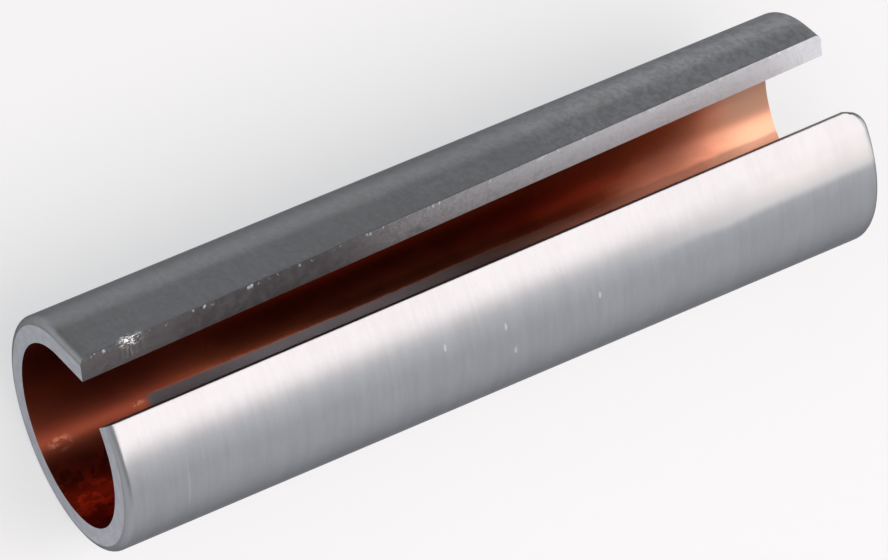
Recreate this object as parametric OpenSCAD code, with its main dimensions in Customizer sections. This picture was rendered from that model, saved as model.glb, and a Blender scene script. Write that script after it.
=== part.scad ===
// Split sleeve for splicing and clamping a round copper conductor in an aluminium connector.
// It is one strip of aluminium clad with copper on one side, sheared to length and rolled copper side in.
// The strip's edges stay straight for a short run on both sides of the slit, which isn't quite parallel.
// It lies along X with its slit up, resting on its round back at Z = 0.

/* [Sleeve] */
// Diameter of the bore, inside the copper lining
bore_d = 8; // [5:0.1:16]
// Length of the sleeve
sleeve_length = 36; // [20:0.5:60]
// Thickness of the aluminium
aluminium_wall = 0.94; // [0.6:0.02:2]
// Thickness of the copper lining
copper_wall = 0.16; // [0.06:0.01:0.4]

/* [Slit] */
// Width of the slit between the outer corners of its lips, across its middle plane at mid length
slit_width = 3.2; // [2.4:0.1:4.5]
// Straight run of the long lip past the end of its bend, at mid length
long_lip_run = 1.6; // [0.9:0.05:2.2]
// Straight run of the short lip past the end of its bend, at mid length
short_lip_run = 0.6; // [0.3:0.05:1.2]
// Angle between the long lip's edge and the bore, in degrees
long_lip_skew = 2; // [0:0.1:2.5]
// Angle between the short lip's edge and the bore, in degrees
short_lip_skew = 0.4; // [0:0.1:1]

/* [Edges] */
// Radius that the shear rolls onto the outer edges of the ends
edge_roll = 0.33; // [0.05:0.01:0.5]

/* [Hidden] */
$fn = 96;

// How far a cutter reaches past the faces that it cuts
cut_margin = 0.2;
// Angle by which the bend runs on inside each lip, in degrees
run_on = 2;

bore_r = bore_d / 2;
bond_r = bore_r + copper_wall;
outer_r = bond_r + aluminium_wall;
middle_r = (bore_r + outer_r) / 2;
side_reach = sleeve_length + outer_r;

// Angle from the middle plane to each end of the bend, which leaves the slit its width
mean_lip_run = (long_lip_run + short_lip_run) / 2;
bend_end = atan(mean_lip_run / outer_r) + asin(slit_width / 2 / norm([outer_r, mean_lip_run]));

// Centre of a lip's straight run at mid wall, across and above the bore's axis
function run_across(run) = middle_r * sin(bend_end) - run / 2 * cos(bend_end);
function run_above(run) = middle_r * cos(bend_end) + run / 2 * sin(bend_end);

// First moments of the mid-wall line about the bore's axis, and the turn that hangs its weight straight down
moment_across = long_lip_run * run_across(long_lip_run) - short_lip_run * run_across(short_lip_run);
moment_above = long_lip_run * run_above(long_lip_run) + short_lip_run * run_above(short_lip_run)
    - 2 * middle_r * middle_r * sin(bend_end);
balance_turn = atan(moment_across / moment_above);

// How much further a skewed edge reaches at one end of the sleeve than at mid length
function skew_reach(skew) = tan(skew) * sleeve_length / 2;

// Corner of a sheared end outside its rolled radius, with the metal towards -X and -Y of the corner
module rolled_corner() {
    difference() {
        translate([-edge_roll, -edge_roll])
            square(edge_roll + cut_margin);
        translate([-edge_roll, -edge_roll])
            circle(edge_roll);
    }
}

// Lengthways section of the aluminium, with both of its outer corners rolled by the shear
module aluminium_section() {
    difference() {
        translate([bond_r, -sleeve_length / 2])
            square([aluminium_wall, sleeve_length]);
        for (far_end = [0, 1])
            mirror([0, far_end])
                translate([outer_r, sleeve_length / 2])
                    rolled_corner();
    }
}

// Lengthways section of the copper lining
module copper_section() {
    translate([bore_r, -sleeve_length / 2])
        square([copper_wall, sleeve_length]);
}

// Frames at the ends of the bend: +X is out of the bore, +Y runs on along the lip, and Z is along the bore
module at_long_lip() {
    rotate([0, 0, 180 - bend_end])
        children();
}

module at_short_lip() {
    rotate([0, 0, bend_end - 180])
        mirror([0, 1, 0])
            children();
}

// Straight lip swept along +Y from a wall section, before it is trimmed
module straight_lip(run, skew) {
    rotate([-90, 0, 0])
        linear_extrude(run + skew_reach(skew) + cut_margin)
            children();
}

// What the shear takes off a lip: all past its skewed edge, which is left square
module lip_trim(run, skew, lean) {
    trim_reach = 2 * (skew_reach(skew) + cut_margin);
    trim_length = sleeve_length + 2 * trim_reach;
    translate([bore_r - cut_margin, run, 0])
        rotate([lean * skew, 0, 0])
            translate([0, 0, -trim_length / 2])
                cube([outer_r - bore_r + 2 * cut_margin, trim_reach, trim_length]);
}

// Space between the ends of the bend, which runs on inside the lips by an angle
module slit_wedge() {
    intersection_for (side = [0, 1])
        mirror([0, side, 0])
            rotate([0, 0, 180 - bend_end + run_on])
                translate([-side_reach, 0, -side_reach])
                    cube(2 * side_reach);
}

// Space inside a lip's inner face, where the bend that runs on into the lip would stand in the bore
module inside_lip(inner_r) {
    translate([inner_r - cut_margin, 0, -side_reach])
        cube([cut_margin, outer_r * sin(run_on) + cut_margin, 2 * side_reach]);
}

// The whole strip, rolled from a wall section with its inner radius.
// The ring is turned half round, so that its sweep starts away from the lips.
module rolled_strip(inner_r) {
    difference() {
        union() {
            difference() {
                at_long_lip()
                    rotate([0, 0, 180])
                        rotate_extrude()
                            children();
                slit_wedge();
            }
            at_long_lip()
                straight_lip(long_lip_run, long_lip_skew)
                    children();
            at_short_lip()
                straight_lip(short_lip_run, short_lip_skew)
                    children();
        }
        at_long_lip() {
            lip_trim(long_lip_run, long_lip_skew, 1);
            inside_lip(inner_r);
        }
        at_short_lip() {
            lip_trim(short_lip_run, short_lip_skew, -1);
            inside_lip(inner_r);
        }
    }
}

// Lays the strip along X with its slit up, in balance on its round back
module laid_down() {
    translate([0, 0, outer_r])
        rotate([balance_turn, 0, 0])
            rotate([0, 90, 0])
                children();
}

module aluminium_sleeve() {
    color("silver")
        laid_down()
            rolled_strip(bond_r)
                aluminium_section();
}

module copper_lining() {
    color("peru")
        laid_down()
            rolled_strip(bore_r)
                copper_section();
}

aluminium_sleeve();
copper_lining();
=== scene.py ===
"""Looks of a split sleeve, rolled from aluminium strip that is clad with copper on its inside."""

import logging
import math
from dataclasses import dataclass
from enum import Enum
from functools import cached_property, reduce
from operator import add
from typing import Any

import bmesh
import bpy
from bmesh.types import BMEdge, BMesh, BMFace
from mathutils import Euler, Matrix, Vector, noise


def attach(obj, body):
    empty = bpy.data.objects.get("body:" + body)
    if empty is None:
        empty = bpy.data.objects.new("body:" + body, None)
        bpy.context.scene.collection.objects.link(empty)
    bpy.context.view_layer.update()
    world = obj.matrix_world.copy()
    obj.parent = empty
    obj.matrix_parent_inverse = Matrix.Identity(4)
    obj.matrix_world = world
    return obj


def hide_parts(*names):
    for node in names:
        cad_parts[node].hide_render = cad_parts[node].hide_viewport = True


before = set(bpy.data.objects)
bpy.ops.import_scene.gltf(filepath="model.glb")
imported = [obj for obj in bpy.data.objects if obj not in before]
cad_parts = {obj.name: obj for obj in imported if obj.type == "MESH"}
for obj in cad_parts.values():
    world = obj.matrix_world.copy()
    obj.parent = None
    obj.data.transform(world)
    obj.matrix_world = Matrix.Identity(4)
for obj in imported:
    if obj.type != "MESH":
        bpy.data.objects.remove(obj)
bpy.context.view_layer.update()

log = logging.getLogger("sleeve")

Colour = tuple[float, float, float]
Triple = tuple[float, float, float]
Span = tuple[float, float]

MM = 0.001
BLACK: Colour = (0.0, 0.0, 0.0)
WHITE: Colour = (1.0, 1.0, 1.0)

# Name of the attribute that keeps each point's place on the flat strip, in millimetres
FLAT = "flat"
# Past every edge of the strip, for a patch that has no end on one side
OPEN = 99.0


class Axis(Enum):
    """Directions on the flat strip, by their number in a vector."""

    ALONG = 0
    ACROSS = 1
    THROUGH = 2


class Cut(Enum):
    """Surfaces of a strip, by the number of their material on a piece."""

    ROLLED = 0
    LIP = 1
    END = 2


class Side(Enum):
    """Sides of the slit, by the sign of the way round from the sleeve's back."""

    LONG = 1
    SHORT = -1


class End(Enum):
    """Ends of the sleeve, by the sign of the way along it."""

    FAR = 1
    NEAR = -1


@dataclass(frozen=True)
class Pattern:
    """Soft noise on the flat strip, with its grains per millimetre in each direction."""

    scale: Triple
    shift: Triple = (0.0, 0.0, 0.0)
    detail: float = 2.0
    roughness: float = 0.5


@dataclass(frozen=True)
class Spot:
    """A small mark on the flat strip, by its place and how far it reaches in each direction."""

    place: Triple
    reach: Triple
    heart: float = 0.3


class Value:
    """A shader socket that takes part in sums."""

    def __init__(self, graph: "Graph", socket: bpy.types.NodeSocket | None) -> None:
        """Keeps the socket and the graph that it belongs to."""
        self.graph = graph
        self.socket = socket

    def _sum(self, operation: str, *terms: Any) -> "Value":
        """Works out one step of a sum, by its name on the Math node and its terms in order."""
        return self.graph.node("ShaderNodeMath", {"operation": operation}, dict(enumerate(terms)))

    def __add__(self, other: Any) -> "Value":
        """Adds a number or a socket."""
        return self._sum("ADD", self, other)

    def __radd__(self, other: Any) -> "Value":
        """Adds this to a number."""
        return self._sum("ADD", other, self)

    def __sub__(self, other: Any) -> "Value":
        """Takes away a number or a socket."""
        return self._sum("SUBTRACT", self, other)

    def __rsub__(self, other: Any) -> "Value":
        """Takes this away from a number."""
        return self._sum("SUBTRACT", other, self)

    def __mul__(self, other: Any) -> "Value":
        """Multiplies by a number or a socket."""
        return self._sum("MULTIPLY", self, other)

    def __rmul__(self, other: Any) -> "Value":
        """Multiplies a number by this."""
        return self._sum("MULTIPLY", other, self)


class Graph:
    """Node tree of one material."""

    def __init__(self, name: str) -> None:
        """Makes an empty material.

        Args:
            name: Its name.
        """
        self.material = bpy.data.materials.new(name)
        self.material.use_nodes = True
        self.tree = self.material.node_tree
        self.tree.nodes.clear()

    def node(self, kind: str, settings: dict[str, Any], sockets: dict[Any, Any], out: Any = 0) -> Value:
        """Adds a node.

        Args:
            kind: Type of the node.
            settings: Properties of the node, which are set first.
            sockets: Values or links of its inputs, by name or number.
            out: Name or number of the output that is wanted.

        Returns:
            That output, which is empty for the node that ends the tree.
        """
        made = self.tree.nodes.new(kind)
        for key, value in settings.items():
            setattr(made, key, value)
        for key, value in sockets.items():
            if isinstance(value, Value):
                self.tree.links.new(value.socket, made.inputs[key])
            else:
                made.inputs[key].default_value = value
        return Value(self, made.outputs[out] if len(made.outputs) else None)

    def flat(self, scale: Triple = (1.0, 1.0, 1.0), shift: Triple = (0.0, 0.0, 0.0)) -> Value:
        """Gives the place on the flat strip, in millimetres along, across and through it.

        Args:
            scale: How much finer a pattern is in each direction.
            shift: Where the pattern starts, so that patterns differ.

        Returns:
            The scaled place.
        """
        place = self.node("ShaderNodeAttribute", {"attribute_name": FLAT}, {}, "Vector")
        sockets = {0: place, 1: scale, 2: shift}
        return self.node("ShaderNodeVectorMath", {"operation": "MULTIPLY_ADD"}, sockets)

    def place(self, axis: Axis) -> Value:
        """Gives the place on the flat strip in one direction, in millimetres."""
        return self.node("ShaderNodeSeparateXYZ", {}, {0: self.flat()}, axis.value)

    def noise(self, pattern: Pattern) -> Value:
        """Gives soft noise.

        Args:
            pattern: Its grains.

        Returns:
            The noise, around a half.
        """
        sockets = {
            "Vector": self.flat(pattern.scale, pattern.shift),
            "Scale": 1.0,
            "Detail": pattern.detail,
            "Roughness": pattern.roughness,
        }
        return self.node("ShaderNodeTexNoise", {}, sockets, "Fac")

    @staticmethod
    def sway(noise_value: Value, reach: float) -> Value:
        """Gives how far a noise departs from its middle, times a reach."""
        return (noise_value - 0.5) * reach

    def ramp(self, value: Value, low: float, high: float, start: float = 0.0, end: float = 1.0) -> Value:
        """Maps a range to another smoothly, and holds it there.

        Args:
            value: What is mapped.
            low: Value that gives the start.
            high: Value that gives the end.
            start: Result at low.
            end: Result at high.

        Returns:
            The mapped value.
        """
        sockets = {0: value, 1: low, 2: high, 3: start, 4: end}
        return self.node("ShaderNodeMapRange", {"interpolation_type": "SMOOTHSTEP"}, sockets)

    def band(self, value: Value, low: float, high: float, fade: float) -> Value:
        """Gives 1 between two values, with edges that fade over a reach to both sides."""
        return self.ramp(value, low - fade, low + fade) * self.ramp(value, high + fade, high - fade)

    def mix(self, factor: Value, first: Value | Colour, second: Value | Colour) -> Value:
        """Mixes two colours.

        Args:
            factor: Share of the second.
            first: Colour at 0.
            second: Colour at 1.

        Returns:
            The mixed colour.
        """
        colours = [c if isinstance(c, Value) else (*c, 1.0) for c in (first, second)]
        sockets = {"Factor": factor, 6: colours[0], 7: colours[1]}
        return self.node("ShaderNodeMix", {"data_type": "RGBA"}, sockets, 2)

    def spot(self, mark: Spot) -> Value:
        """Gives 1 at the heart of a mark, and fades from there to its reach.

        Args:
            mark: The mark.

        Returns:
            The mask.
        """
        scale = tuple(1 / reach for reach in mark.reach)
        shift = tuple(-place / reach for place, reach in zip(mark.place, mark.reach))
        sockets = {0: self.flat(scale, shift)}
        away = self.node("ShaderNodeVectorMath", {"operation": "LENGTH"}, sockets, "Value")
        return self.ramp(away, 1.0, mark.heart)

    def spots(self, marks: tuple[Spot, ...]) -> Value:
        """Gives 1 at the hearts of several marks."""
        return reduce(add, map(self.spot, marks))

    def bump(self, height: Value, distance: float) -> Value:
        """Gives a normal for a height of 0 to 1 over that distance in metres."""
        return self.node("ShaderNodeBump", {}, {"Height": height, "Distance": distance, "Strength": 1.0})

    def surface(self, **sockets: Any) -> bpy.types.Material:
        """Ends the material with a plain surface.

        Args:
            sockets: The surface's inputs, with underscores for spaces.

        Returns:
            The material.
        """
        named = {name.replace("_", " "): value for name, value in sockets.items()}
        shader = self.node("ShaderNodeBsdfPrincipled", {}, named)
        self.node("ShaderNodeOutputMaterial", {}, {"Surface": shader})
        return self.material


@dataclass(frozen=True)
class Patch:
    """A patch of the flat strip in millimetres, for a change of colour or for painted shade, with how far its
    edges fade and its share.
    """

    along: Span
    across: Span
    fade_along: float
    fade_across: float
    share: float

    def mask(self, graph: Graph, along: Value, across: Value) -> Value:
        """Gives the patch's share at a place.

        Args:
            graph: The material's graph.
            along: Place along the strip.
            across: Place across the strip.

        Returns:
            The mask.
        """
        stretch = graph.band(along, *self.along, self.fade_along)
        return graph.band(across, *self.across, self.fade_across) * stretch * self.share


@dataclass(frozen=True)
class Nick:
    """A nick that was knocked into the long lip's outer edge, in millimetres on the flat strip."""

    along: float = -15.55
    across: float = 14.05
    outwards: float = 0.5
    reach: float = 0.6
    depth: float = 0.32
    depth_share: float = 0.8
    depth_sway: float = 0.4
    ripple: float = 3.0
    ripple_start: float = 4.0
    bright_reach: Triple = (0.72, 0.36, 0.5)
    crumbs: Pattern = Pattern((5.0, 7.0, 7.0), (0.4, 0.0, 3.0), 2.0, 0.6)
    crumb_edge: Span = (0.42, 0.58)

    def depth_at(self, along: float) -> float:
        """Gives its uneven depth.

        Args:
            along: Place along the strip.

        Returns:
            The depth, below zero past its reach.
        """
        ripple = noise.noise(Vector((along * self.ripple, 0.0, self.ripple_start)))
        uneven = self.depth_share + self.depth_sway * ripple
        return self.depth * uneven * (1 - ((along - self.along) / self.reach) ** 2)

    def mask(self, graph: Graph) -> Value:
        """Gives the bright crumbs of metal in it.

        Args:
            graph: The material's graph.

        Returns:
            The mask.
        """
        bright = Spot((self.along, self.across, self.outwards), self.bright_reach)
        return graph.spot(bright) * graph.ramp(graph.noise(self.crumbs), *self.crumb_edge)


@dataclass(frozen=True)
class Strip:
    """The whole strip, its flat blank and how it is rolled, in millimetres and degrees."""

    length: float = 36.0
    bore_radius: float = 4.0
    bond_radius: float = 4.16
    outer_radius: float = 5.1
    slit_width: float = 3.2
    long_run: float = 1.6
    short_run: float = 0.6
    long_skew: float = 2.0
    short_skew: float = 0.4
    # Slope of the short lip's cut face, and of the ends, which the shear left out of square
    short_lean: float = 0.07
    end_lean: float = 0.0155
    # How far from the ends the strip is drawn in by that slope
    warp_reach: float = 3.0
    edge_roll: float = 0.33
    lip_break: float = 0.08
    # Radius of the short lip's far corner
    corner_round: float = 0.9
    # How far the outside stays within the solid's
    skin: float = 0.004
    nick: Nick = Nick()

    @cached_property
    def middle_radius(self) -> float:
        """Radius of the mid-wall line, which keeps its length when the strip is rolled."""
        return (self.bore_radius + self.outer_radius) / 2

    @cached_property
    def bend_end(self) -> float:
        """Angle from the slit's middle plane to each end of the bend.

        Returns:
            The angle, in radians.
        """
        run = (self.long_run + self.short_run) / 2
        reach = math.hypot(self.outer_radius, run)
        return math.atan(run / self.outer_radius) + math.asin(self.slit_width / 2 / reach)

    @cached_property
    def bend_half(self) -> float:
        """Length of the bend on each side of the back, on the mid-wall line."""
        return (math.pi - self.bend_end) * self.middle_radius

    @cached_property
    def balance_turn(self) -> float:
        """Turn about the bore that hangs the strip's weight straight under it.

        Returns:
            The angle, in radians.
        """
        sine, cosine = math.sin(self.bend_end), math.cos(self.bend_end)
        across, above = 0.0, -2 * self.middle_radius**2 * sine
        for side, run in ((Side.LONG, self.long_run), (Side.SHORT, self.short_run)):
            across += side.value * run * (self.middle_radius * sine - run / 2 * cosine)
            above += run * (self.middle_radius * cosine + run / 2 * sine)
        return math.atan(across / above)

    def edge(self, side: Side, along: float) -> float:
        """Gives the distance from the back to a lip's skewed edge.

        Args:
            side: The lip.
            along: Place along the sleeve.

        Returns:
            The distance on the mid-wall line.
        """
        if side is Side.LONG:
            return self.bend_half + self.long_run - along * math.tan(math.radians(self.long_skew))
        return self.bend_half + self.short_run + along * math.tan(math.radians(self.short_skew))

    def set_back(self, end: End, across: float) -> float:
        """Gives how far an end lies inside the full length, as the shear left it.

        Args:
            end: The end.
            across: Place across the strip, on the mid-wall line.

        Returns:
            The distance.
        """
        side_reach = self.outer_radius * math.sin(across / self.middle_radius)
        lean = self.skin + self.end_lean * (self.outer_radius - end.value * side_reach)
        from_edge = across + self.edge(Side.SHORT, end.value * self.length / 2)
        if end is End.NEAR or from_edge > self.corner_round:
            return lean
        past = self.corner_round - max(0.0, from_edge)
        return lean + self.corner_round - math.sqrt(self.corner_round**2 - past**2)

    def sheared(self, place: Vector) -> Vector:
        """Moves a point of a plain blank, whose sides are at 1 and -1, to the blank as it was sheared.

        Args:
            place: Place on the plain blank.

        Returns:
            The place on the sheared blank.
        """
        side = Side.LONG if place.y > 0 else Side.SHORT
        under = self.outer_radius - self.middle_radius - place.z
        lean = self.short_lean * under if side is Side.SHORT else 0.0
        across = place.y * (self.edge(side, place.x) - lean)
        end = End.FAR if place.x > 0 else End.NEAR
        share = max(0.0, 1 - (self.length / 2 - abs(place.x)) / self.warp_reach)
        along = place.x - end.value * self.set_back(end, across) * share
        return Vector((along, across, place.z))

    def nicked(self, place: Vector) -> Vector:
        """Presses the nick into the long lip's outer edge.

        Args:
            place: Place on the sheared blank.

        Returns:
            The place, moved where the nick is.
        """
        inside = self.edge(Side.LONG, place.x) - place.y
        under = self.outer_radius - self.skin - self.middle_radius - place.z
        press = max(0.0, self.nick.depth_at(place.x) - inside - under) / 2
        return place - Vector((0.0, press, press))

    def rolled(self, place: Vector) -> Vector:
        """Rolls a point of the flat blank up and lays it down.

        Args:
            place: Place along, across from the back, and outwards from mid wall.

        Returns:
            The point in the shared frame, in metres.
        """
        across = max(-self.bend_half, min(self.bend_half, place.y))
        run = place.y - across
        angle = across / self.middle_radius
        radius = self.middle_radius + place.z
        y = radius * math.sin(angle) + run * math.cos(angle)
        z = -radius * math.cos(angle) + run * math.sin(angle)
        turned = Matrix.Rotation(self.balance_turn, 3, "X") @ Vector((place.x, y, z))
        return (turned + Vector((0.0, 0.0, self.outer_radius))) * MM


@dataclass(frozen=True)
class MillFinish:
    """Satin aluminium as it comes from the mill, with streaks across the strip and marks of handling, plus
    painted shade, painted light and a painted highlight.
    """

    colour: Colour = (0.342, 0.357, 0.38)
    # Darker mill tone, which is also the colour of the painted shade near the bottom
    mill_stain_and_shade: Colour = (0.313, 0.326, 0.346)
    tan: Colour = (0.295, 0.292, 0.27)
    # Colour of the painted light on the upper wall towards the far end
    pale: Colour = (0.48, 0.49, 0.52)
    # Colour of the painted highlight streak on the lower wall
    bright: Colour = (0.58, 0.57, 0.57)
    worn: Colour = (0.95, 0.95, 0.96)
    edge_tint: Colour = (0.27, 0.275, 0.29)
    roughness: float = 0.38
    rough_sway: float = 0.08
    nick_polish: float = 0.16
    relief: float = 0.0000035
    streaks: Pattern = Pattern((4.5, 0.24, 1.0), detail=4.0, roughness=0.6)
    cloud: Pattern = Pattern((0.35, 0.3, 1.0), (7.0, 3.0, 0.0), 3.0, 0.55)
    mottle: Pattern = Pattern((2.2, 1.0, 1.0), (2.0, 9.0, 0.0), 4.0, 0.62)
    speckle: Pattern = Pattern((5.0, 3.0, 3.0), (6.0, 1.0, 0.0), 3.0, 0.65)
    grain: Pattern = Pattern((14.0, 9.0, 9.0), detail=2.0, roughness=0.6)
    clean_edge: Span = (0.38, 0.62)
    # Painted shade: a band across the bottom of the sleeve is darkened towards the stain colour
    painted_bottom_shade: Span = (-5.0, 1.0)
    painted_bottom_shade_fade: float = 2.0
    painted_bottom_shade_share: float = 0.8
    upper_wall: Span = (2.0, 6.0)
    # Painted light: the upper wall turns paler towards the far end
    painted_upper_light_along: Span = (-4.0, 12.0)
    painted_upper_light_sway: float = 12.0
    painted_upper_light_share: float = 0.6
    tan_edge: Span = (0.43, 0.58)
    tan_share: float = 0.6
    # Painted highlight: a bright streak along the lower wall, near the short lip's edge, towards the far end
    painted_highlight_inner: Span = (-10.1, -10.5)
    painted_highlight_outer: Span = (-11.6, -10.55)
    painted_highlight_along: Span = (4.0, 14.0)
    painted_highlight_sway: float = 0.4
    painted_highlight_share: float = 0.75
    scratch: Spot = Spot((-15.17, -8.7, 0.55), (0.07, 1.6, 1.0))
    scratch_share: float = 0.22
    specks: tuple[Spot, ...] = (
        Spot((-0.26, -9.97, 0.55), (0.09, 0.22, 1.0)),
        Spot((4.19, -9.66, 0.55), (0.09, 0.22, 1.0)),
        Spot((-3.11, -10.15, 0.55), (0.09, 0.22, 1.0)),
        Spot((0.11, -8.76, 0.55), (0.09, 0.22, 1.0)),
    )
    speck_edge: Span = (0.3, 0.5)
    mark_share: float = 0.34
    nick: Nick = Nick()

    def make(self) -> bpy.types.Material:
        """Builds the material.

        Returns:
            The material.
        """
        graph = Graph("aluminium_mill")
        streaks, cloud, mottle = map(graph.noise, (self.streaks, self.cloud, self.mottle))
        grain = graph.noise(self.grain)
        base = self.tone(graph, streaks, cloud, mottle)
        marks = graph.spots(self.specks) * graph.ramp(grain, *self.speck_edge)
        marks = graph.spot(self.scratch) * self.scratch_share + marks
        nick = self.nick.mask(graph)
        base = graph.mix(marks * self.mark_share + nick, base, self.worn)
        rough = self.roughness + graph.sway(streaks, self.rough_sway) + graph.sway(grain, self.rough_sway)
        rough = rough - nick * self.nick_polish
        height = streaks * 0.4 + grain * 0.3 + mottle * 0.3 + marks * 0.5 + nick * 9.0
        return graph.surface(
            Base_Color=base,
            Metallic=1.0,
            Roughness=rough,
            Normal=graph.bump(height, self.relief),
            Specular_Tint=(*self.edge_tint, 1.0),
        )

    def tone(self, graph: Graph, streaks: Value, cloud: Value, mottle: Value) -> Value:
        """Gives the colour before the marks: streaks and mottles that the mill and the rolls left, painted
        shade near the bottom, painted light on the upper wall towards the far end and a painted highlight
        streak on the lower wall.

        Args:
            graph: The material's graph.
            streaks: Noise drawn out across the strip.
            cloud: Broad noise.
            mottle: Noise of middling grain.

        Returns:
            The colour.
        """
        along, across = map(graph.place, (Axis.ALONG, Axis.ACROSS))
        clean = graph.ramp(streaks * 0.45 + cloud * 0.25 + mottle * 0.3, *self.clean_edge)
        # Painted shade darkens a band across the bottom
        painted_bottom_shade = graph.band(across, *self.painted_bottom_shade, self.painted_bottom_shade_fade)
        base = graph.mix(clean * (1 - painted_bottom_shade * self.painted_bottom_shade_share), self.mill_stain_and_shade, self.colour)
        upper = graph.ramp(across, *self.upper_wall)
        # Painted light makes the upper wall paler towards the far end
        pale = graph.ramp(along + graph.sway(cloud, self.painted_upper_light_sway), *self.painted_upper_light_along)
        base = graph.mix(pale * upper * self.painted_upper_light_share, base, self.pale)
        tan = graph.ramp(graph.noise(self.speckle) * 0.6 + mottle * 0.4, *self.tan_edge)
        base = graph.mix(tan * upper * self.tan_share, base, self.tan)
        # Painted highlight streak along the lower wall towards the far end
        swaying = across + graph.sway(cloud, self.painted_highlight_sway)
        painted_highlight = graph.ramp(swaying, *self.painted_highlight_inner) * graph.ramp(swaying, *self.painted_highlight_outer)
        painted_highlight = painted_highlight * graph.ramp(along, *self.painted_highlight_along)
        return graph.mix(painted_highlight * self.painted_highlight_share, base, self.bright)


@dataclass(frozen=True)
class LipFinish:
    """Aluminium where the shear went through along a lip, smeared over the copper, with painted light that
    makes the long lip's cut face paler towards the far end and painted shade that darkens the short lip's cut
    face.
    """

    # Paler colour, which is the painted light on the long lip's cut face towards the far end, and a darker
    # tone, which is also the painted shade on the short lip's cut face
    colour: Colour = (0.68, 0.69, 0.73)
    dark_tone: Colour = (0.155, 0.147, 0.154)
    brown: Colour = (0.14, 0.11, 0.1)
    # Colour of a darker patch on the long lip's cut face
    dark_patch_tone: Colour = (0.085, 0.075, 0.08)
    bright: Colour = (0.95, 0.95, 0.96)
    roughness: float = 0.5
    rough_sway: float = 0.2
    nick_polish: float = 0.2
    relief: float = 0.00002
    tears: Pattern = Pattern((2.4, 2.4, 2.0), detail=4.0, roughness=0.6)
    grain: Pattern = Pattern((9.0, 9.0, 9.0), detail=3.0, roughness=0.6)
    flecks: Pattern = Pattern((4.0, 4.0, 2.0), (5.0, 1.0, 2.0), 2.0, 0.6)
    # Painted shade keeps the short lip's cut face dark, and painted light makes the long lip's paler towards
    # the far end
    long_side: Span = (-1.0, 1.0)
    light_along: Span = (-10.5, 12.0)
    light_sway: float = 16.0
    stain_edge: Span = (0.48, 0.62)
    stain_along: Span = (8.0, -6.0)
    stain_least: float = 0.2
    stain_share: float = 0.6
    # A darker patch on the long lip's cut face, in blotches
    dark_patch: Spot = Spot((-9.0, 13.8, 0.0), (7.0, 4.0, 4.0))
    dark_patch_edge: Span = (0.34, 0.56)
    dark_patch_share: Span = (0.4, 0.8)
    fleck_edge: Span = (0.58, 0.7)
    fleck_depth: Span = (0.3, 0.48)
    fleck_share: float = 0.6
    nick: Nick = Nick()

    def make(self) -> bpy.types.Material:
        """Builds the material.

        Returns:
            The material.
        """
        graph = Graph("aluminium_lip")
        along, across, through = map(graph.place, Axis)
        tears, grain, flecks = map(graph.noise, (self.tears, self.grain, self.flecks))
        # Painted shade keeps the short lip's cut face dark, and painted light makes the long lip's paler
        # towards the far end
        long_side = graph.ramp(across, *self.long_side)
        light = graph.ramp(along + graph.sway(tears, self.light_sway), *self.light_along)
        base = graph.mix(light * long_side, self.dark_tone, self.colour)
        stains = graph.ramp(tears * 0.7 + grain * 0.3, *self.stain_edge)
        stains = stains * graph.ramp(along, *self.stain_along, self.stain_least)
        base = graph.mix(stains * self.stain_share, base, self.brown)
        # Darkens a patch of the long lip's cut face, in blotches
        dark_patch = graph.spot(self.dark_patch) * graph.ramp(tears, *self.dark_patch_edge, *self.dark_patch_share)
        base = graph.mix(dark_patch, base, self.dark_patch_tone)
        sparkle = graph.ramp(flecks, *self.fleck_edge) * graph.ramp(through, *self.fleck_depth) * long_side
        nick = self.nick.mask(graph)
        base = graph.mix(sparkle * self.fleck_share + nick, base, self.bright)
        rough = self.roughness + graph.sway(grain, self.rough_sway) - nick * self.nick_polish
        normal = graph.bump(tears * 0.5 + grain * 0.5 + nick * 1.5, self.relief)
        return graph.surface(Base_Color=base, Metallic=1.0, Roughness=rough, Normal=normal)


@dataclass(frozen=True)
class EndFinish:
    """Aluminium of the sheared ends, smooth and a little paler."""

    colour: Colour = (0.385, 0.405, 0.455)
    dark_tone: Colour = (0.315, 0.325, 0.36)
    roughness: float = 0.42
    rough_sway: float = 0.2
    relief: float = 0.00001
    tears: Pattern = Pattern((1.0, 1.4, 3.0), detail=4.0, roughness=0.6)
    grain: Pattern = Pattern((12.0, 12.0, 12.0), detail=2.0, roughness=0.6)
    torn_edge: Span = (0.38, 0.62)

    def make(self) -> bpy.types.Material:
        """Builds the material.

        Returns:
            The material.
        """
        graph = Graph("aluminium_end")
        tears, grain = map(graph.noise, (self.tears, self.grain))
        base = graph.mix(graph.ramp(tears * 0.6 + grain * 0.4, *self.torn_edge), self.dark_tone, self.colour)
        rough = self.roughness + graph.sway(grain, self.rough_sway)
        normal = graph.bump(tears * 0.5 + grain * 0.5, self.relief)
        return graph.surface(Base_Color=base, Metallic=1.0, Roughness=rough, Normal=normal)


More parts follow.
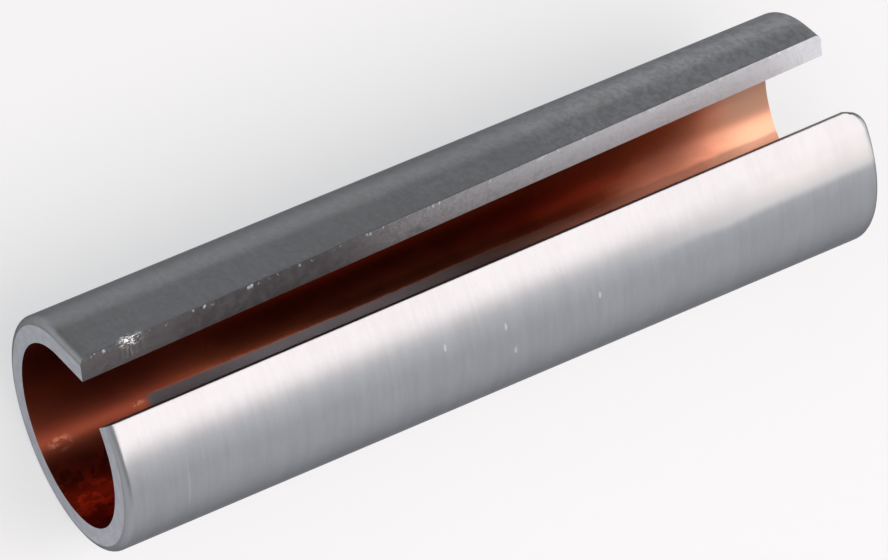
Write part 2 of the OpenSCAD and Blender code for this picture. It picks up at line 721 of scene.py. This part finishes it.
@dataclass(frozen=True)
class CopperFinish:
    """Rolled copper, with painted shade that darkens the middle and a painted reflection in a grey band along
    its bottom.
    """

    deep: Colour = (0.42, 0.1, 0.055)
    red: Colour = (0.52, 0.145, 0.068)
    # Colour of the painted shade in the middle of the bore, and the copper's clean colour, which is also its
    # painted light towards the far end
    dark: Colour = (0.38, 0.125, 0.065)
    colour: Colour = (0.545, 0.238, 0.158)
    # Colour of the painted reflection that pales the far end of the bore
    painted_far_reflection: Colour = (0.43, 0.225, 0.15)
    # Colour of the painted shade in blotches at the near end
    painted_shade_blotches: Colour = (0.2, 0.05, 0.025)
    ember: Colour = (0.62, 0.17, 0.085)
    # Colour of the painted shade in bands along the bore
    painted_shade: Colour = (0.1, 0.03, 0.016)
    # Colours of the painted reflection in a grey band along the bore, which darkens towards the far end
    painted_reflection: Colour = (0.24, 0.243, 0.272)
    painted_reflection_dark: Colour = (0.075, 0.052, 0.047)
    glint: Colour = (0.85, 0.38, 0.22)
    roughness: float = 0.2
    rough_sway: float = 0.1
    # Extra roughness where the painted reflection lies
    painted_reflection_rough: float = 0.18
    worn_rough: float = 0.1
    relief: float = 0.000004
    streaks: Pattern = Pattern((0.5, 1.6, 1.0), detail=3.0, roughness=0.55)
    cloud: Pattern = Pattern((0.4, 0.4, 1.0), (3.0, 5.0, 0.0), 3.0, 0.55)
    mottle: Pattern = Pattern((1.3, 1.3, 1.0), (1.0, 8.0, 0.0), 3.0, 0.6)
    flecks: Pattern = Pattern((3.5, 3.5, 1.0), (4.0, 2.0, 0.0), 2.0, 0.6)
    # Where the zones of colour change along the bore, and how far the changes sway
    zone_sway: float = 2.5
    red_from: Span = (-12.5, -8.5)
    # Painted shade darkens the middle of the bore, and painted light brightens it towards the far end
    dark_from: Span = (-1.0, 6.0)
    bright_from: Span = (9.0, 11.5)
    # Painted reflection: the copper turns paler at the far end
    painted_far_reflection_from: Span = (14.4, 16.4)
    # The bright zone starts later on this side of the bore
    late_side: Span = (2.4, 4.4)
    late_by: float = 3.2
    flushed: Patch = Patch((11.0, 15.5), (3.3, OPEN), 1.6, 0.5, 0.65)
    stripe: Patch = Patch((-3.0, 10.5), (2.7, 3.3), 2.5, 0.25, 0.7)
    stripe_sway: float = 0.6
    # Painted shade in bands along the bore
    shaded: Patch = Patch((-3.0, 10.5), (3.7, OPEN), 2.5, 0.4, 0.3)
    painted_shadow_band: Patch = Patch((-5.0, 9.8), (1.9, 2.6), 2.2, 0.3, 0.75)
    dimmed: Patch = Patch((12.8, 15.4), (1.7, 3.0), 1.4, 0.4, 0.4)
    dim_edge: Span = (0.36, 0.6)
    dim_share: Span = (0.55, 1.0)
    # Painted shade in blotches at the near end, on the short lip's side of the bore
    painted_blotch_along: Span = (-6.0, -11.0)
    painted_blotch_across: Span = (1.2, -0.4)
    painted_blotch_edge: Span = (0.58, 0.46)
    # Painted reflection: a grey band along the bore near its bottom, which thins and darkens towards the far
    # end
    painted_reflection_across: Span = (0.6, 2.05)
    painted_reflection_fade: float = 0.09
    painted_reflection_sway: float = 0.12
    painted_reflection_start: Span = (-12.95, -12.55)
    painted_reflection_rise: Span = (-3.0, 4.0)
    painted_reflection_rise_by: float = 0.1
    painted_reflection_thins: Span = (2.0, 12.0)
    painted_reflection_left: float = 0.35
    painted_reflection_darkens: Span = (-6.0, 5.0)
    glints: tuple[Spot, ...] = (
        Spot((-17.0, 1.55, -0.55), (0.7, 0.5, 1.0)),
        Spot((-13.3, 1.88, -0.55), (0.5, 0.16, 1.0)),
    )
    glint_edge: Span = (0.44, 0.6)
    glint_share: float = 0.7
    worn_near: Span = (-6.0, -12.0)
    worn_far: Span = (7.0, 11.0)

    def make(self) -> bpy.types.Material:
        """Builds the material.

        Returns:
            The material.
        """
        graph = Graph("copper_lining")
        along, across = map(graph.place, (Axis.ALONG, Axis.ACROSS))
        streaks, cloud, mottle = map(graph.noise, (self.streaks, self.cloud, self.mottle))
        base = self.zones(graph, along + (streaks + cloud - 1.0) * self.zone_sway, across)
        base = self.stained(graph, base, streaks, mottle)
        # Painted reflection in a grey band along the bore, darker towards the far end
        painted_reflection = self.painted_reflection_mask(graph, along, across + graph.sway(mottle, self.painted_reflection_sway))
        base = graph.mix(painted_reflection, base, graph.mix(graph.ramp(along, *self.painted_reflection_darkens), self.painted_reflection, self.painted_reflection_dark))
        glints = graph.spots(self.glints) * graph.ramp(graph.noise(self.flecks), *self.glint_edge)
        base = graph.mix(glints * self.glint_share, base, self.glint)
        worn = graph.ramp(along, *self.worn_near) + graph.ramp(along, *self.worn_far)
        rough = self.roughness + graph.sway(cloud, self.rough_sway)
        rough = rough + painted_reflection * self.painted_reflection_rough + worn * self.worn_rough
        normal = graph.bump(cloud + mottle * 0.3, self.relief)
        return graph.surface(Base_Color=base, Metallic=1.0, Roughness=rough, Normal=normal)

    def zones(self, graph: Graph, wavy: Value, across: Value) -> Value:
        """Gives the copper's colour along the bore: deep red at the near end, painted shade that darkens the
        middle, painted light that brightens it towards the far end and a painted reflection that pales the
        far end.

        Args:
            graph: The material's graph.
            wavy: Place along the strip, swayed by noise.
            across: Place across the strip.

        Returns:
            The colour.
        """
        base = graph.mix(graph.ramp(wavy, *self.red_from), self.deep, self.red)
        # Painted shade in the middle of the bore, then painted light towards the far end
        base = graph.mix(graph.ramp(wavy, *self.dark_from), base, self.dark)
        late = graph.ramp(across, *self.late_side) * self.late_by
        base = graph.mix(graph.ramp(wavy - late, *self.bright_from), base, self.colour)
        # Painted reflection pales the copper at the far end
        return graph.mix(graph.ramp(wavy, *self.painted_far_reflection_from), base, self.painted_far_reflection)

    def stained(self, graph: Graph, base: Value, streaks: Value, mottle: Value) -> Value:
        """Reddens the copper in a patch and a stripe, and lays painted shade on it in blotches and bands.

        Args:
            graph: The material's graph.
            base: The copper's own colour.
            streaks: Noise drawn out along the strip.
            mottle: Noise of middling grain.

        Returns:
            The stained colour.
        """
        along, across = map(graph.place, (Axis.ALONG, Axis.ACROSS))
        base = graph.mix(self.flushed.mask(graph, along, across), base, self.red)
        # Painted shade in blotches at the near end
        painted_shade_blotches = graph.ramp(across, *self.painted_blotch_across) * graph.ramp(along, *self.painted_blotch_along)
        base = graph.mix(painted_shade_blotches * graph.ramp(mottle, *self.painted_blotch_edge), base, self.painted_shade_blotches)
        swaying = across + graph.sway(streaks, self.stripe_sway)
        base = graph.mix(self.stripe.mask(graph, along, swaying), base, self.ember)
        # Painted shade in bands along the bore
        painted_shade = self.painted_shadow_band.mask(graph, along, across) + self.shaded.mask(graph, along, across)
        dimmed = self.dimmed.mask(graph, along, across)
        painted_shade = painted_shade + dimmed * graph.ramp(streaks, *self.dim_edge, *self.dim_share)
        return graph.mix(painted_shade, base, self.painted_shade)

    def painted_reflection_mask(self, graph: Graph, along: Value, across: Value) -> Value:
        """Gives the painted reflection, a grey band that thins towards the far end.

        Args:
            graph: The material's graph.
            along: Place along the strip.
            across: Place across the strip, swayed by noise.

        Returns:
            The mask.
        """
        rise = graph.ramp(along, *self.painted_reflection_rise) * self.painted_reflection_rise_by
        painted_reflection = graph.band(across - rise, *self.painted_reflection_across, self.painted_reflection_fade)
        painted_reflection = painted_reflection * graph.ramp(along, *self.painted_reflection_start)
        return painted_reflection * graph.ramp(along, *self.painted_reflection_thins, 1.0, self.painted_reflection_left)


@dataclass
class Layer:
    """One metal layer of the strip, made as a flat blank and rolled, in millimetres and degrees."""

    strip: Strip
    node: str
    slot: str
    piece_name: str
    inner: float
    outer: float
    end_roll: float = 0.0
    lip_break: float = 0.0
    roll_segments: int = 8
    break_segments: int = 3
    steps_along: int = 150
    steps_across: int = 200
    steps_through: int = 8
    # Fine cuts around the nick: to each side of its middle, and in rows from the lip's edge
    nick_steps: int = 8
    nick_rows: int = 6
    nick_row: float = 0.05
    # Edges of the blank count as long or as through the wall from these lengths on
    long_edge: float = 2.0
    wall_edge: float = 0.1
    # Angles from which an edge is a corner of the blank, and a sharp edge of the piece
    corner_angle: float = 45.0
    sharp_angle: float = 15.0
    # Share of its length that an edge runs along a direction, and slope of a face that isn't cut
    straight_share: float = 0.999
    rolled_slope: float = 0.05
    # Width that the blank has to spare before it is sheared
    spare_width: float = 1.0
    # Distances within which points are one, on the blank in its own units and on the piece in metres
    blank_weld: float = 1e-6
    piece_weld: float = 1e-7

    @property
    def middle(self) -> float:
        """Height of the layer's middle over the strip's mid wall."""
        return (self.outer + self.inner) / 2 - self.strip.middle_radius

    def blank(self) -> BMesh:
        """Makes the flat blank, with its sides at 1 and -1 across.

        Returns:
            The blank, subdivided.
        """
        bm = bmesh.new()
        half_width = self.strip.bend_half + self.spare_width
        thick = self.outer - self.inner
        bmesh.ops.create_cube(bm, size=1.0)
        bmesh.ops.scale(bm, vec=(self.strip.length, 2 * half_width, thick), verts=bm.verts[:])
        bmesh.ops.translate(bm, vec=(0.0, 0.0, self.middle), verts=bm.verts[:])
        self.ease_edges(bm, Axis.ACROSS, self.end_roll, self.roll_segments)
        self.ease_edges(bm, Axis.ALONG, self.lip_break, self.break_segments)
        for axis, steps, shortest in (
            (Axis.ALONG, self.steps_along, self.long_edge),
            (Axis.ACROSS, self.steps_across, self.long_edge),
            (Axis.THROUGH, self.steps_through, self.wall_edge),
        ):
            edges = [e for e in bm.edges if self.runs_along(e, axis, shortest)]
            bmesh.ops.subdivide_edges(bm, edges=edges, cuts=steps - 1, use_grid_fill=True)
        bmesh.ops.scale(bm, vec=(1.0, 1 / half_width, 1.0), verts=bm.verts[:])
        return bm

    def ease_edges(self, bm: BMesh, axis: Axis, radius: float, segments: int) -> None:
        """Rounds the blank's outer corners that run along a direction.

        Args:
            bm: The blank.
            axis: The direction.
            radius: Radius of the corners, or 0 to leave them square.
            segments: Number of facets on each.
        """
        edges = [e for e in bm.edges if self.is_outer(e) and self.runs_along(e, axis, self.long_edge)]
        if radius:
            bmesh.ops.bevel(
                bm,
                geom=edges,
                offset=radius,
                offset_type="OFFSET",
                segments=segments,
                profile=0.5,
                affect="EDGES",
                material=-1,
            )

    def refine(self, bm: BMesh) -> None:
        """Adds cuts to the blank around the nick, which is finer than the rest.

        Args:
            bm: The blank.
        """
        nick = self.strip.nick
        edge = self.strip.edge(Side.LONG, nick.along)
        cuts = []
        for step in range(-self.nick_steps, self.nick_steps + 1):
            along = nick.along + nick.reach * step / self.nick_steps
            cuts.append((Vector((along, 0.0, 0.0)), Vector((1.0, 0.0, 0.0))))
        for row in range(1, self.nick_rows + 1):
            across = 1 - row * self.nick_row / edge
            cuts.append((Vector((0.0, across, 0.0)), Vector((0.0, 1.0, 0.0))))
        for place, way in cuts:
            geom = bm.verts[:] + bm.edges[:] + bm.faces[:]
            bmesh.ops.bisect_plane(bm, geom=geom, dist=self.blank_weld, plane_co=place, plane_no=way)

    def is_outer(self, edge: BMEdge) -> bool:
        """Tells whether an edge of the blank is a corner of its outer face."""
        is_corner = edge.calc_face_angle(0.0) > math.radians(self.corner_angle)
        return is_corner and all(vert.co.z > self.middle for vert in edge.verts)

    def runs_along(self, edge: BMEdge, axis: Axis, shortest: float) -> bool:
        """Tells whether an edge runs along a direction and is at least so long."""
        span = edge.verts[1].co - edge.verts[0].co
        return abs(span[axis.value]) > self.straight_share * span.length and span.length > shortest

    def sort_faces(self, bm: BMesh) -> None:
        """Gives the sheared faces their material number, while the blank is flat.

        Args:
            bm: The blank.
        """
        for face in bm.faces:
            face.smooth = True
            face.material_index = self.cut(face).value

    def cut(self, face: BMFace) -> Cut:
        """Tells how the surface of a face of the flat blank was made.

        Args:
            face: The face.

        Returns:
            The kind of surface.
        """
        if abs(face.normal.z) > self.rolled_slope:
            return Cut.ROLLED
        return Cut.END if abs(face.normal.x) > abs(face.normal.y) else Cut.LIP

    def build(self) -> bpy.types.Object:
        """Builds the piece.

        Returns:
            The rolled layer, in place.
        """
        bm = self.blank()
        if self.lip_break:
            self.refine(bm)
        for vert in bm.verts:
            vert.co = self.strip.sheared(vert.co)
        bm.normal_update()
        self.sort_faces(bm)
        flat = bm.verts.layers.float_vector.new(FLAT)
        for vert in bm.verts:
            vert[flat] = vert.co
            vert.co = self.strip.rolled(self.strip.nicked(vert.co))
        bmesh.ops.remove_doubles(bm, verts=bm.verts[:], dist=self.piece_weld)
        bmesh.ops.recalc_face_normals(bm, faces=bm.faces[:])
        for edge in bm.edges:
            edge.smooth = edge.calc_face_angle(0.0) < math.radians(self.sharp_angle)
        mesh = bpy.data.meshes.new(self.piece_name)
        bm.to_mesh(mesh)
        bm.free()
        piece = bpy.data.objects.new(self.piece_name, mesh)
        bpy.context.scene.collection.objects.link(piece)
        return piece

    def dress(self, piece: bpy.types.Object, finishes: dict[Cut, bpy.types.Material]) -> None:
        """Gives the piece its finishes and ties it to the frame.

        Args:
            piece: The piece.
            finishes: The finish of each kind of surface.
        """
        for cut in Cut:
            piece.data.materials.append(finishes[cut])
        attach(piece, "root")
        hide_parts(self.node)


@dataclass(frozen=True)
class SoftBox:
    """A soft lamp with a plain rectangular face, in metres."""

    name: str
    place: Triple
    width: float
    height: float
    radiance: float
    colour: Colour

    def hang(self, aim: Vector) -> None:
        """Hangs the lamp.

        Args:
            aim: The point that it faces.
        """
        light = bpy.data.lights.new(self.name, "AREA")
        light.shape = "RECTANGLE"
        light.size = self.width
        light.size_y = self.height
        light.energy = self.radiance * math.pi * self.width * self.height
        light.color = self.colour
        lamp = bpy.data.objects.new(self.name, light)
        lamp.location = self.place
        lamp.rotation_euler = (aim - lamp.location).to_track_quat("-Z", "Y").to_euler()
        bpy.context.scene.collection.objects.link(lamp)


@dataclass(frozen=True)
class Studio:
    """Floor, lamps and camera around the sleeve, in metres, degrees and millimetres of the lens."""

    floor_colour: Colour = (0.37, 0.378, 0.39)
    floor_roughness: float = 0.9
    floor_half: float = 3.0
    # How far the floor is lifted towards white, for the rays that see it straight or in metal
    floor_lift: float = 0.56
    lifted_rays: tuple[str, ...] = ("Is Camera Ray", "Is Glossy Ray", "Is Transmission Ray")
    lamps: tuple[SoftBox, ...] = (
        SoftBox("window", (0.1, -0.3, 0.43), 0.85, 0.36, 3.65, (1.0, 0.885, 0.835)),
        SoftBox("low_panel", (0.2, -0.46, 0.15), 0.6, 0.24, 1.0, (0.96, 0.98, 1.0)),
        SoftBox("near_panel", (-0.4, -0.26, 0.12), 0.4, 0.24, 0.4, (0.95, 0.97, 1.0)),
        SoftBox("far_panel", (0.5, -0.13, 0.14), 0.36, 0.26, 2.2, (1.0, 0.95, 0.94)),
        SoftBox("fill", (-0.36, 0.05, 0.36), 0.6, 0.6, 0.55, (0.94, 0.98, 1.0)),
        SoftBox("back_panel", (0.05, 0.36, 0.42), 0.5, 0.4, 0.4, (0.85, 0.94, 1.0)),
    )
    sky: Colour = (0.1, 0.105, 0.115)
    camera_place: Triple = (-0.118915, -0.0770885, 0.2935917)
    camera_turn: Triple = (22.69431, -13.29332, -28.19454)
    lens: float = 316.661
    sensor_width: float = 36.0
    clip_start: float = 0.01

    def floor(self) -> None:
        """Lays the pale floor."""
        bm = bmesh.new()
        bmesh.ops.create_grid(bm, x_segments=1, y_segments=1, size=self.floor_half)
        mesh = bpy.data.meshes.new("floor")
        bm.to_mesh(mesh)
        bm.free()
        floor = bpy.data.objects.new("floor", mesh)
        bpy.context.scene.collection.objects.link(floor)
        mesh.materials.append(self.floor_finish())

    def floor_finish(self) -> bpy.types.Material:
        """Makes the floor's pale finish.

        Returns:
            The material.
        """
        graph = Graph("floor")
        seen = [graph.node("ShaderNodeLightPath", {}, {}, ray) for ray in self.lifted_rays]
        lift = reduce(add, seen) * self.floor_lift
        return graph.surface(
            Base_Color=(*self.floor_colour, 1.0),
            Roughness=self.floor_roughness,
            Specular_IOR_Level=0.0,
            Emission_Color=graph.mix(lift, BLACK, WHITE),
            Emission_Strength=1.0,
        )

    def world(self) -> None:
        """Fills the room with a little plain light."""
        world = bpy.data.worlds.new("room")
        world.use_nodes = True
        background = world.node_tree.nodes["Background"]
        background.inputs["Color"].default_value = (*self.sky, 1.0)
        background.inputs["Strength"].default_value = 1.0
        bpy.context.scene.world = world

    def camera(self) -> None:
        """Sets the camera up as it was for the photo."""
        data = bpy.data.cameras.new("camera")
        data.lens = self.lens
        data.sensor_width = self.sensor_width
        data.clip_start = self.clip_start
        camera = bpy.data.objects.new("camera", data)
        camera.location = self.camera_place
        camera.rotation_euler = Euler([math.radians(turn) for turn in self.camera_turn], "XYZ")
        bpy.context.scene.collection.objects.link(camera)
        bpy.context.scene.camera = camera

    def build(self) -> None:
        """Sets up the floor, light and camera."""
        self.floor()
        for lamp in self.lamps:
            lamp.hang(Vector((0.0, 0.0, 0.0)))
        self.world()
        self.camera()
        bpy.context.scene.view_settings.view_transform = "Standard"


def main() -> None:
    """Builds the pieces in order, and the studio around them."""
    logging.basicConfig(level=logging.INFO, format="%(message)s")
    strip = Strip()
    sleeve = Layer(
        strip,
        node="aluminium_sleeve",
        slot="aluminium",
        piece_name="rolled_sleeve",
        inner=strip.bond_radius,
        outer=strip.outer_radius - strip.skin,
        end_roll=strip.edge_roll,
        lip_break=strip.lip_break,
    )
    lining = Layer(
        strip,
        node="copper_lining",
        slot="copper",
        piece_name="clad_lining",
        inner=strip.bore_radius,
        outer=strip.bond_radius,
        steps_through=2,
    )
    mill, copper = MillFinish().make(), CopperFinish().make()
    sheared = {Cut.LIP: LipFinish().make(), Cut.END: EndFinish().make()}
    for layer, finish in ((sleeve, mill), (lining, copper)):
        piece = layer.build()
        layer.dress(piece, {Cut.ROLLED: finish, **sheared})
        log.info("%s: %d faces", piece.name, len(piece.data.polygons))
    Studio().build()


if __name__ == "__main__":
    main()
